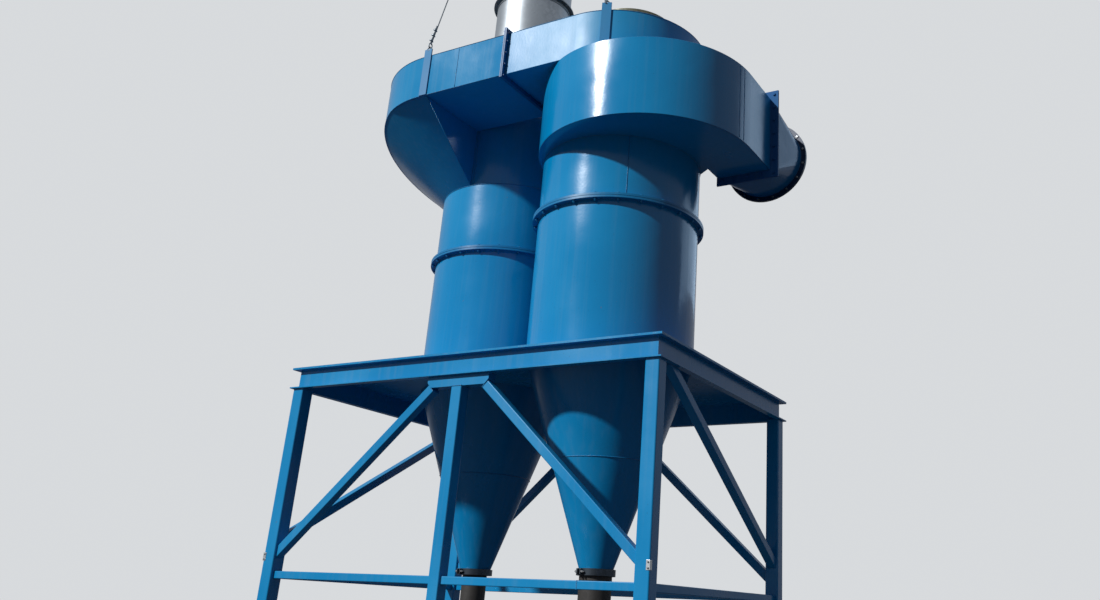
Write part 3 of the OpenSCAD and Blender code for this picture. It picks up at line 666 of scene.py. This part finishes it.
# Folded sheet in the same blue, a little greyed
inlet_enamel = enamel("inlet_enamel", "#0575AC", "#2484B2", gloss=0.2, dust=0.08)
dress(inlet_enamel, "inlet_transition")
# Brushed on by hand, thin and matt, over the bolted flange
flange_enamel = enamel("flange_enamel", "#04508A", "#125E94", gloss=0.66)
dress(flange_enamel, "inlet_flange")
# A darker navy that came with the collar, half matt
collar_enamel = enamel("collar_enamel", "#062748", "#17395C", gloss=0.46)
dress(collar_enamel, "inlet_collar")
flange_low, flange_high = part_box("inlet_flange")
lip_mid = 0.033
first_bolt = 0.050
across_gaps = 4
upright_gaps = 6
bolt_x = flange_high[0] - lip_mid
across_pitch = (bolt_x - flange_low[0] - first_bolt) / across_gaps
upright_pitch = (flange_high[2] - flange_low[2] - 2 * lip_mid) / upright_gaps
flange_rows = (flange_low[2] + lip_mid, flange_high[2] - lip_mid)
flange_points = [(flange_low[0] + first_bolt + i * across_pitch, z)
                 for i in range(across_gaps + 1) for z in flange_rows]
flange_points += [(bolt_x, flange_low[2] + lip_mid + i * upright_pitch) for i in range(1, upright_gaps)]
set_out(hex_nut(**m12_head), [(Vector((x, flange_low[1], z)), (0, -1, 0)) for x, z in flange_points],
        "inlet_flange_bolts", flange_enamel)
m12_long_nut = {**m12_nut, "stud_l": 0.007}
set_out(hex_nut(**m12_long_nut), [(Vector((x, flange_high[1], z)), (0, 1, 0)) for x, z in flange_points],
        "inlet_flange_nuts", flange_enamel)
collar_low, collar_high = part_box("inlet_collar")
collar_mid = middle("inlet_collar")
collar_bolt_r = 0.327
collar_bolts = 16
m10_head = {"across": 0.016, "height": 0.0065, "washer_r": 0.010}
m10_nut = {"across": 0.016, "height": 0.009, "washer_r": 0.010, "stud_l": 0.006}
collar_turns = [2 * math.pi * (i + 0.5) / collar_bolts for i in range(collar_bolts)]
collar_points = [(collar_mid.x + collar_bolt_r * math.cos(t), collar_mid.z + collar_bolt_r * math.sin(t))
                 for t in collar_turns]
set_out(hex_nut(**m10_head), [(Vector((x, collar_low[1], z)), (0, -1, 0)) for x, z in collar_points],
        "collar_bolts", anchor_zinc)
set_out(hex_nut(**m10_nut), [(Vector((x, collar_high[1], z)), (0, 1, 0)) for x, z in collar_points],
        "collar_nuts", anchor_zinc)
weld_bead("transition_welds", ["inlet_transition"],
          lambda corner: min(abs(corner.y - flange_high[1]), abs(corner.y - collar_low[1])) < seam_reach,
          0.0028, bead_enamel)

# Outlet scroll and cross duct: three rolled arcs on the primary roof run into a flat duct,
# which is joined half way by a pair of bolted angle frames with a rubber gasket.

# Chalkier than the scrolls, so that flat sheet in the sun shines broad and pale
duct_enamel = enamel("duct_enamel", "#0888C0", "#3398C4", gloss=0.32, dust=0.12)
dress(duct_enamel, "outlet_scroll", "outlet_scroll_roof")
# Darker on the angle frames, whose bolts keep the rain from washing them
frame_enamel = enamel("frame_enamel", "#065C94", "#16699B", gloss=0.25)
dress(frame_enamel, "cross_duct_flanges")
roof_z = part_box("outlet_scroll_roof")[1][2]
weld_bead("outlet_scroll_welds", ["outlet_scroll"],
          lambda corner: abs(corner.z - outlet_z) < seam_reach, 0.003, bead_enamel)
weld_bead("outlet_roof_weld", ["outlet_scroll_roof"],
          lambda corner: abs(corner.z - roof_z) < seam_reach, 0.003, bead_enamel)
cross_low, cross_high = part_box("cross_duct_flanges")
cross_mid = middle("cross_duct_flanges")
cross_lip = 0.038
level_gaps = 6
side_gaps = 4
rows_y = (cross_low[1] + cross_lip / 2, cross_high[1] - cross_lip / 2)
rows_z = (cross_low[2] + cross_lip / 2, cross_high[2] - cross_lip / 2)
span_y = rows_y[1] - rows_y[0]
span_z = rows_z[1] - rows_z[0]
cross_points = [(rows_y[0] + i * span_y / level_gaps, z) for i in range(level_gaps + 1) for z in rows_z]
cross_points += [(y, rows_z[0] + i * span_z / side_gaps) for i in range(1, side_gaps) for y in rows_y]
set_out(hex_nut(**m10_head), [(Vector((cross_high[0], y, z)), (1, 0, 0)) for y, z in cross_points],
        "cross_duct_bolts", frame_enamel)
set_out(hex_nut(**m10_nut), [(Vector((cross_low[0], y, z)), (-1, 0, 0)) for y, z in cross_points],
        "cross_duct_nuts", frame_enamel)
strip_t = 0.0026
strip_in = 0.002
strip_gap = 0.0005
strip_w = cross_lip - 2 * strip_in
upright_l = span_z + strip_w
level_l = span_y - strip_w - 2 * strip_gap
strips = [soft_block((strip_t, strip_w, upright_l), (cross_mid.x, y, cross_mid.z), 0.0004) for y in rows_y]
strips += [soft_block((strip_t, level_l, strip_w), (cross_mid.x, cross_mid.y, z), 0.0004) for z in rows_z]
keep(join(strips), "cross_duct_gasket", rubber)

# Capped stub: a short galvanised tube welded on the outlet scroll and closed by a low cone.
# Standing rain has left it olive and brown with algae and rust.

# Zinc gone dull, with flakes that hardly show through the stains
stub_zinc = zinc("stub_zinc", "#8B8A76", "#4C4A33", 0.02, 0.5)
dress(stub_zinc, "capped_stub")
stub_low, stub_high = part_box("capped_stub")
stub_r = (stub_high[0] - stub_low[0]) / 2
run_beads("stub_weld", 0.0035, rings=[(Vector((axes[0].x, axes[0].y, roof_z)), stub_r + bead_out)],
          finish=bead_enamel)

# Secondary inlet scroll: a spiral wall with a flat floor by the duct and a skirt that slopes
# down to the barrel on the far side, all 5 mm sheet, with an upright seam in the front wall.

# As glossy as the barrels, dustier on the sloping skirt
second_enamel = enamel("second_scroll_enamel", "#0685BD", "#2294C6", gloss=0.12, dust=0.09)
dress(second_enamel, "secondary_inlet_scroll", "secondary_roof")
weld_bead("skirt_welds", ["secondary_inlet_scroll"],
          lambda corner: corner.z < roof_z - 0.02 and (corner.xy - axes[1].xy).length > barrel_r - 0.001,
          0.003, bead_enamel)
weld_bead("secondary_roof_weld", ["secondary_roof"],
          lambda corner: abs(corner.z - roof_z) < seam_reach and (corner.xy - axes[1].xy).length > 0.5,
          0.003, bead_enamel)
wall_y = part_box("outlet_scroll")[0][1]
seam_x = -0.56
seam_ends = (outlet_z + 0.005, roof_z - 0.006)
run_beads("secondary_wall_seam", 0.0028, lines=[[Vector((seam_x, wall_y, z)) for z in seam_ends]],
          finish=bead_enamel)

# Exhaust stack: galvanised sheet in courses 1220 mm high with a bright spangle. The courses
# meet in bolted angle rings, and a band near the top holds the guy wires.

# Fresh galvanised sheet: flakes 30 mm wide and one long bright glint
stack_zinc = zinc("stack_zinc", "#BDC4C9", "#9CA3A8", 0.03, 0.33)
dress(stack_zinc, "exhaust_stack")
# Hot-dip zinc on rolled angle: greyer, with finer flakes
band_zinc = zinc("band_zinc", "#A9B0B4", "#7B8286", 0.012, 0.35)
dress(band_zinc, "guy_ring")
course_h = 1.220
stack_low, stack_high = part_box("exhaust_stack")
stack_r = (stack_high[0] - stack_low[0]) / 2
stack_axis = middle("exhaust_stack")
angle_t = 0.005
angle_leg = 0.038
angle_gap = 0.0002
joints = 3
courses = [roof_z + course_h * (i + 1) for i in range(joints)]
angles = []
for z in courses:
    for way in (1, -1):
        inner, heel, toe = stack_r + angle_gap, stack_r + angle_t, stack_r + angle_leg
        face, back, tip = z + way * angle_gap, z + way * angle_t, z + way * angle_leg
        angles.append(turned_ring(stack_axis, [(inner, face), (toe, face), (toe, back),
                                               (heel, back), (heel, tip), (inner, tip)], 96))
keep(join(angles), "stack_joint_rings", band_zinc)
ring_bolt_r = stack_r + 0.024
ring_bolts = 14
m8_head = {"across": 0.013, "height": 0.0055, "washer_r": 0.008}
m8_nut = {"across": 0.013, "height": 0.007, "washer_r": 0.008, "stud_l": 0.005}
for bolt, name, rise, facing in ((m8_head, "stack_joint_bolts", angle_t, (0, 0, 1)),
                                 (m8_nut, "stack_joint_nuts", -angle_t, (0, 0, -1))):
    spots = [spot for z in courses for spot in around(stack_axis, ring_bolt_r, z + rise, ring_bolts, facing)]
    set_out(hex_nut(**bolt), spots, name, anchor_zinc)
# The sheet's upright seams start behind and step 15 degrees round from course to course
first_bearing = 140
bearing_step = 15
stack_lines = []
for i in range(joints + 1):
    bearing = first_bearing + bearing_step * i
    seam_high = min(roof_z + course_h * (i + 1), stack_high[2] - 0.002)
    stack_lines.append((on_barrel(stack_axis, bearing, roof_z + course_h * i, stack_r),
                        on_barrel(stack_axis, bearing, seam_high, stack_r)))
stack_foot = Vector((stack_axis.x, stack_axis.y, roof_z))
run_beads("stack_seams", 0.0022, rings=[(stack_foot, stack_r + bead_out)], lines=stack_lines,
          finish=band_zinc)

# Lugs and guy wires: flat bars welded to the scrolls carry three 10 mm six-strand ropes up
# to the band. Each rope ends in an eye on a ring, held by three clips.

# Brushed on over the welds by hand: matt beside the sprayed sheet
lug_enamel = enamel("lug_enamel", "#0574AB", "#1D84B5", gloss=0.5)
dress(lug_enamel, "lifting_lugs")
# Drawn zinc on thin wires: grey, satin, with no flakes that show
rope_zinc = zinc("rope_zinc", "#8A9298", "#62696E", 0.003, 0.4)
rope_r = 0.005
lug_rise = 0.060
lug_half = 0.005
# One lug stands on the outlet scroll's front arc, one on the secondary scroll's front wall
# and one at its back; each is turned as its wall faces there
arc_r = 0.677
arc_shift = 0.024
lug_shift = 0.026
lug_turns = [math.radians(a) for a in (-70, -90, 90)]
lug_walls = [Vector((axes[0].x - arc_shift + arc_r * math.cos(lug_turns[0]),
                     wall_y + arc_r + arc_r * math.sin(lug_turns[0]))),
             Vector((axes[1].x - lug_shift, wall_y)), Vector((axes[1].x, axes[1].y + barrel_r))]
band_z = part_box("guy_ring")[0][2]
band_gap = 0.0003
band_t = 0.008
ear_reach = 0.025
band_reach = stack_r + band_gap + band_t + ear_reach
rope_ends = []
for wall, turn in zip(lug_walls, lug_turns):
    start = Vector((wall.x + lug_half * math.cos(turn), wall.y + lug_half * math.sin(turn),
                    roof_z + lug_rise))
    bearing = math.atan2(wall.y - axes[1].y, wall.x - axes[1].x)
    end = Vector((axes[1].x + band_reach * math.cos(bearing), axes[1].y + band_reach * math.sin(bearing),
                  band_z))
    rope_ends.append((start, end))
eye_l = 0.062
strands = 6
lay = 0.070


def rope(length):
    """Six-strand wire rope that stands on Z = 0: a lobed ring screwed upwards."""
    bpy.ops.object.select_all(action="DESELECT")
    bpy.ops.mesh.primitive_circle_add(vertices=4 * strands, radius=rope_r)
    wire = bpy.context.object
    bpy.ops.object.mode_set(mode="EDIT")
    bpy.ops.mesh.select_mode(type="VERT")
    bpy.ops.mesh.select_all(action="DESELECT")
    shape = bmesh.from_edit_mesh(wire.data)
    for corner in shape.verts:
        corner.select_set(corner.index % 4 == 0)
    bmesh.update_edit_mesh(wire.data)
    # Every fourth corner is drawn in, which leaves a groove between each two strands
    groove = 0.72
    bpy.ops.transform.resize(value=(groove, groove, 1), center_override=(0, 0, 0))
    bpy.ops.object.mode_set(mode="OBJECT")
    turns = round(length / lay)
    bpy.ops.object.modifier_add(type="SCREW")
    screw = wire.modifiers["Screw"]
    screw.axis = "Z"
    screw.angle = 2 * math.pi
    screw.iterations = turns
    screw.screw_offset = length / turns
    screw.steps = 10
    screw.render_steps = 10
    bpy.ops.object.modifier_apply(modifier="Screw")
    bpy.ops.object.mode_set(mode="EDIT")
    bpy.ops.mesh.select_all(action="SELECT")
    bpy.ops.mesh.fill_holes(sides=0)
    bpy.ops.mesh.select_all(action="SELECT")
    bpy.ops.mesh.normals_make_consistent(inside=False)
    bpy.ops.object.mode_set(mode="OBJECT")
    bpy.ops.object.shade_smooth_by_angle(angle=math.radians(50))
    return wire


wires = []
for start, end in rope_ends:
    along = end - start
    wire = rope(along.length - 2 * eye_l)
    turn = along.to_track_quat("Z", "Y").to_matrix().to_4x4()
    wire.matrix_world = Matrix.Translation(start + along.normalized() * eye_l) @ turn
    wires.append(wire)
ropes = keep(join(wires), "guy_wire_ropes", rope_zinc)
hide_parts("guy_wires")


def rope_end():
    """Ring, rope eye, tail and three clips, for a rope that leaves along +Z from Z = 0."""
    link_r = 0.019
    link_wire_r = 0.0045
    eye_r = 0.017
    tail_l = 0.200
    tail_y = 0.0105
    saddle = (0.020, 0.010, 0.014)
    hoop_r = 0.0085
    hoop_wire_r = 0.0025
    bpy.ops.object.select_all(action="DESELECT")
    bpy.ops.mesh.primitive_torus_add(major_radius=link_r, minor_radius=link_wire_r, major_segments=28,
                                     minor_segments=10, location=(0, 0, 0.008),
                                     rotation=(math.pi / 2, 0, 0))
    parts = [bpy.context.object]
    bpy.ops.object.select_all(action="DESELECT")
    bpy.ops.mesh.primitive_torus_add(major_radius=eye_r, minor_radius=rope_r, major_segments=28,
                                     minor_segments=10, location=(0, 0, 0.042),
                                     rotation=(0, math.pi / 2, 0))
    eye = bpy.context.object
    eye.scale = (1.35, 1, 1)
    parts.append(eye)
    bpy.ops.object.select_all(action="DESELECT")
    bpy.ops.mesh.primitive_cylinder_add(vertices=12, radius=rope_r * 0.95, depth=tail_l,
                                        location=(0, tail_y, eye_l + tail_l / 2))
    tail = bpy.context.object
    bpy.ops.object.modifier_add(type="BEVEL")
    tail.modifiers["Bevel"].width = 0.001
    bpy.ops.object.modifier_apply(modifier="Bevel")
    parts.append(tail)
    for rise in (0.03, 0.09, 0.15):
        parts.append(soft_block(saddle, (0, 0.0195, eye_l + rise), 0.002))
        bpy.ops.object.select_all(action="DESELECT")
        bpy.ops.mesh.primitive_torus_add(major_radius=hoop_r, minor_radius=hoop_wire_r, major_segments=20,
                                         minor_segments=8, location=(0, 0.006, eye_l + rise))
        hoop = bpy.context.object
        hoop.scale = (1, 1.6, 1)
        parts.append(hoop)
    for part in parts:
        bpy.ops.object.select_all(action="DESELECT")
        part.select_set(True)
        bpy.context.view_layer.objects.active = part
        bpy.ops.object.transform_apply(location=True, rotation=True, scale=True)
    whole = join(parts)
    bpy.ops.object.shade_smooth_by_angle(angle=math.radians(40))
    return whole


fitting_spots = [(start, end - start) for start, end in rope_ends]
fitting_spots += [(end, start - end) for start, end in rope_ends]
set_out(rope_end(), fitting_spots, "guy_wire_fittings", rope_zinc)
lug_side = 0.0365
lug_foot = outlet_z + 0.012
lug_weld_l = roof_z - outlet_z - 0.020
lug_lines = []
for wall, turn in zip(lug_walls, lug_turns):
    sideways = Vector((-math.sin(turn), math.cos(turn), 0))
    for side in (-1, 1):
        foot = Vector((wall.x, wall.y, lug_foot)) + sideways * side * lug_side
        lug_lines.append((foot, foot + Vector((0, 0, lug_weld_l))))
run_beads("lug_welds", 0.0035, lines=lug_lines, finish=bead_enamel)

# Dust outlets: dark brown coated pipes below the cones, each held by a split clamp collar
# that one long bolt draws together through a pair of ears.

# Bituminous coat: no metal in it, matt, mottled brown and black in 30 mm patches
pipe_coat = zinc("pipe_coat", "#35322F", "#221F1D", 0.03, 0.6)
pipe_coat.node_tree.nodes["Principled BSDF"].inputs["Metallic"].default_value = 0.0
dress(pipe_coat, "dust_pipes")
# Bare rolled steel band, dark with mill scale, still satin
clamp_steel = zinc("clamp_steel", "#4A525A", "#272D33", 0.012, 0.35)
dress(clamp_steel, "clamp_collars")
clamp_r = 0.134
clamp_z = middle("clamp_collars").z
ear_t = 0.010
ear_l = 0.036
ear_h = 0.038
ear_half_gap = 0.007
ear_out = 0.014
ear_bolt_out = 0.019
# The ears meet left of the front, where the band's rim lies at these shares of its radius
ear_left = 0.30
ear_front = 0.954
ears = []
ear_bolts = []
for axis in axes:
    rim_x = axis.x - ear_left * clamp_r
    rim_y = axis.y - ear_front * clamp_r
    for side in (-1, 1):
        ear_place = (rim_x + side * (ear_half_gap + ear_t / 2), rim_y - ear_out, clamp_z)
        ears.append(soft_block((ear_t, ear_l, ear_h), ear_place, 0.002))
        bolt_place = Vector((rim_x + side * (ear_half_gap + ear_t), rim_y - ear_bolt_out, clamp_z))
        ear_bolts.append((bolt_place, (side, 0, 0)))
keep(join(ears), "clamp_ears", clamp_steel)
set_out(hex_nut(**m10_nut), ear_bolts, "clamp_bolts", anchor_zinc)
